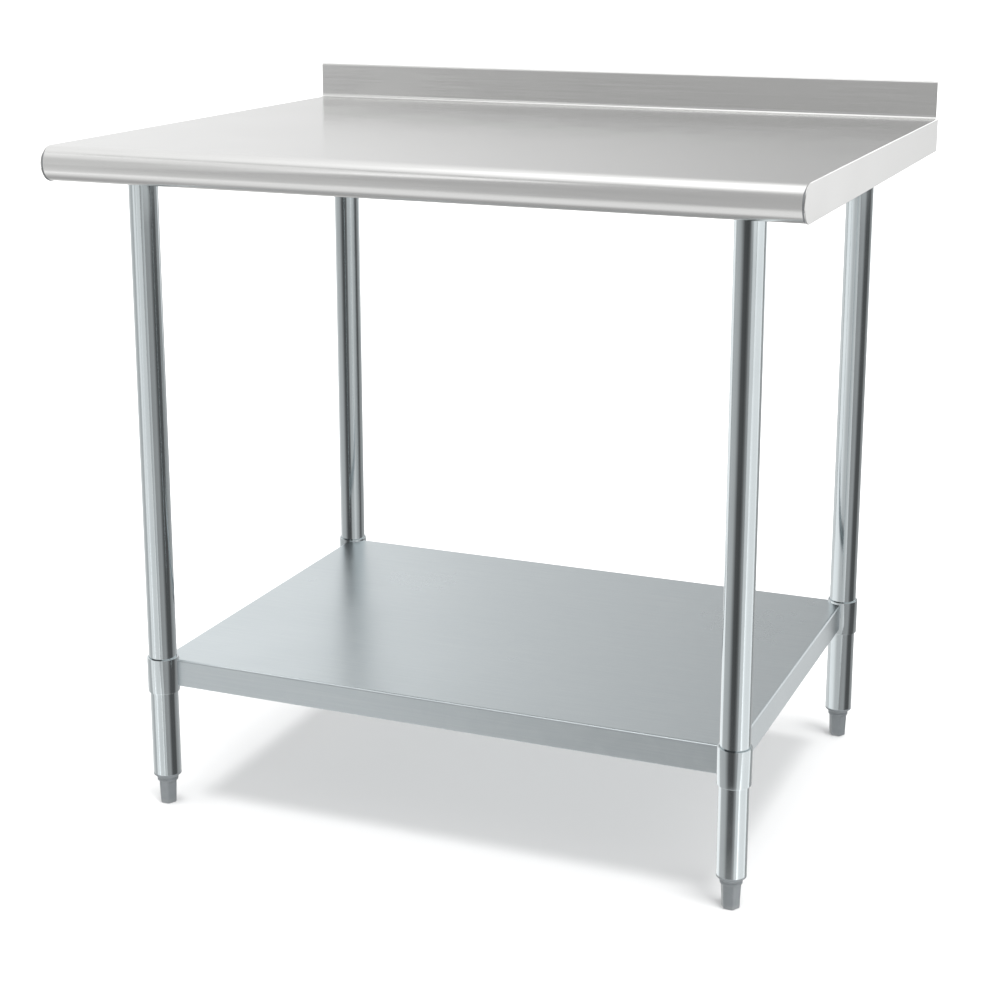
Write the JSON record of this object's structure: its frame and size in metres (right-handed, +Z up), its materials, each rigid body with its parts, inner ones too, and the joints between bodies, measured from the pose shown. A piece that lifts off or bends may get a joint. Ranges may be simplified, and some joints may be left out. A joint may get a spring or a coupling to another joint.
{
  "type": "stainless work table",
  "caption": "Kitchen work table: stainless top with rolled front edge and low backsplash, tube legs, height-adjustable undershelf and screw-adjustable feet.",
  "frame": {"origin": "on the floor, under the middle of the table's outline", "axes": "+X to the user's right, +Y towards the backsplash, +Z up"},
  "size_m": [0.98, 0.7819, 0.968],
  "materials": {
    "stainless_sheet": "satin, fine grain along the length",
    "galvanised_sheet": "galvanised, satin",
    "galvanised_tube": "galvanised, bright and smooth",
    "zinc_fittings": "zinc plated",
    "grey_plastic": "moulded, matte"
  },
  "bodies": {
    "frame": {"worktop": "stainless_sheet", "left_end_plate": "stainless_sheet", "right_end_plate": "stainless_sheet", "left_top_channel": "galvanised_sheet", "right_top_channel": "galvanised_sheet", "centre_top_channel": "galvanised_sheet", "leg_socket_front_left": "zinc_fittings", "leg_socket_front_right": "zinc_fittings", "leg_socket_rear_left": "zinc_fittings", "leg_socket_rear_right": "zinc_fittings", "leg_set_screws": "zinc_fittings", "leg_front_left": "galvanised_tube", "leg_front_right": "galvanised_tube", "leg_rear_left": "galvanised_tube", "leg_rear_right": "galvanised_tube", "leg_insert_front_left": "grey_plastic", "leg_insert_front_right": "grey_plastic", "leg_insert_rear_left": "grey_plastic", "leg_insert_rear_right": "grey_plastic"},
    "shelf": {"undershelf": "galvanised_sheet", "shelf_channel": "galvanised_sheet", "shelf_collar_front_left": "galvanised_tube", "shelf_collar_front_right": "galvanised_tube", "shelf_collar_rear_left": "galvanised_tube", "shelf_collar_rear_right": "galvanised_tube", "shelf_set_screws": "zinc_fittings"},
    "stud_front_left": {"foot_stud_front_left": "zinc_fittings"},
    "foot_front_left": {"foot_front_left": "grey_plastic"},
    "stud_front_right": {"foot_stud_front_right": "zinc_fittings"},
    "foot_front_right": {"foot_front_right": "grey_plastic"},
    "stud_rear_left": {"foot_stud_rear_left": "zinc_fittings"},
    "foot_rear_left": {"foot_rear_left": "grey_plastic"},
    "stud_rear_right": {"foot_stud_rear_right": "zinc_fittings"},
    "foot_rear_right": {"foot_rear_right": "grey_plastic"}
  },
  "joints": [
    {"name": "shelf_height", "type": "slide", "parent": "frame", "child": "shelf", "axis": [0, 0, 1], "range_m": [-0.11, 0.4]},
    {"name": "stud_travel_front_left", "type": "slide", "parent": "frame", "child": "stud_front_left", "axis": [0, 0, 1], "range_m": [-0.0246, 0]},
    {"name": "foot_turn_front_left", "type": "hinge", "parent": "stud_front_left", "child": "foot_front_left", "pos_m": [-0.4035, -0.2915, 0], "axis": [0, 0, 1], "range_deg": [-5040, 0]},
    {"name": "stud_travel_front_right", "type": "slide", "parent": "frame", "child": "stud_front_right", "axis": [0, 0, 1], "range_m": [-0.0246, 0]},
    {"name": "foot_turn_front_right", "type": "hinge", "parent": "stud_front_right", "child": "foot_front_right", "pos_m": [0.4035, -0.2915, 0], "axis": [0, 0, 1], "range_deg": [-5040, 0]},
    {"name": "stud_travel_rear_left", "type": "slide", "parent": "frame", "child": "stud_rear_left", "axis": [0, 0, 1], "range_m": [-0.0246, 0]},
    {"name": "foot_turn_rear_left", "type": "hinge", "parent": "stud_rear_left", "child": "foot_rear_left", "pos_m": [-0.4035, 0.2915, 0], "axis": [0, 0, 1], "range_deg": [-5040, 0]},
    {"name": "stud_travel_rear_right", "type": "slide", "parent": "frame", "child": "stud_rear_right", "axis": [0, 0, 1], "range_m": [-0.0246, 0]},
    {"name": "foot_turn_rear_right", "type": "hinge", "parent": "stud_rear_right", "child": "foot_rear_right", "pos_m": [0.4035, 0.2915, 0], "axis": [0, 0, 1], "range_deg": [-5040, 0]}
  ],
  "couplings": [
    {"joint": "stud_travel_front_left", "follows": "foot_turn_front_left", "m_per_rad": 0.00027852},
    {"joint": "stud_travel_front_right", "follows": "foot_turn_front_right", "m_per_rad": 0.00027852},
    {"joint": "stud_travel_rear_left", "follows": "foot_turn_rear_left", "m_per_rad": 0.00027852},
    {"joint": "stud_travel_rear_right", "follows": "foot_turn_rear_right", "m_per_rad": 0.00027852}
  ]
}
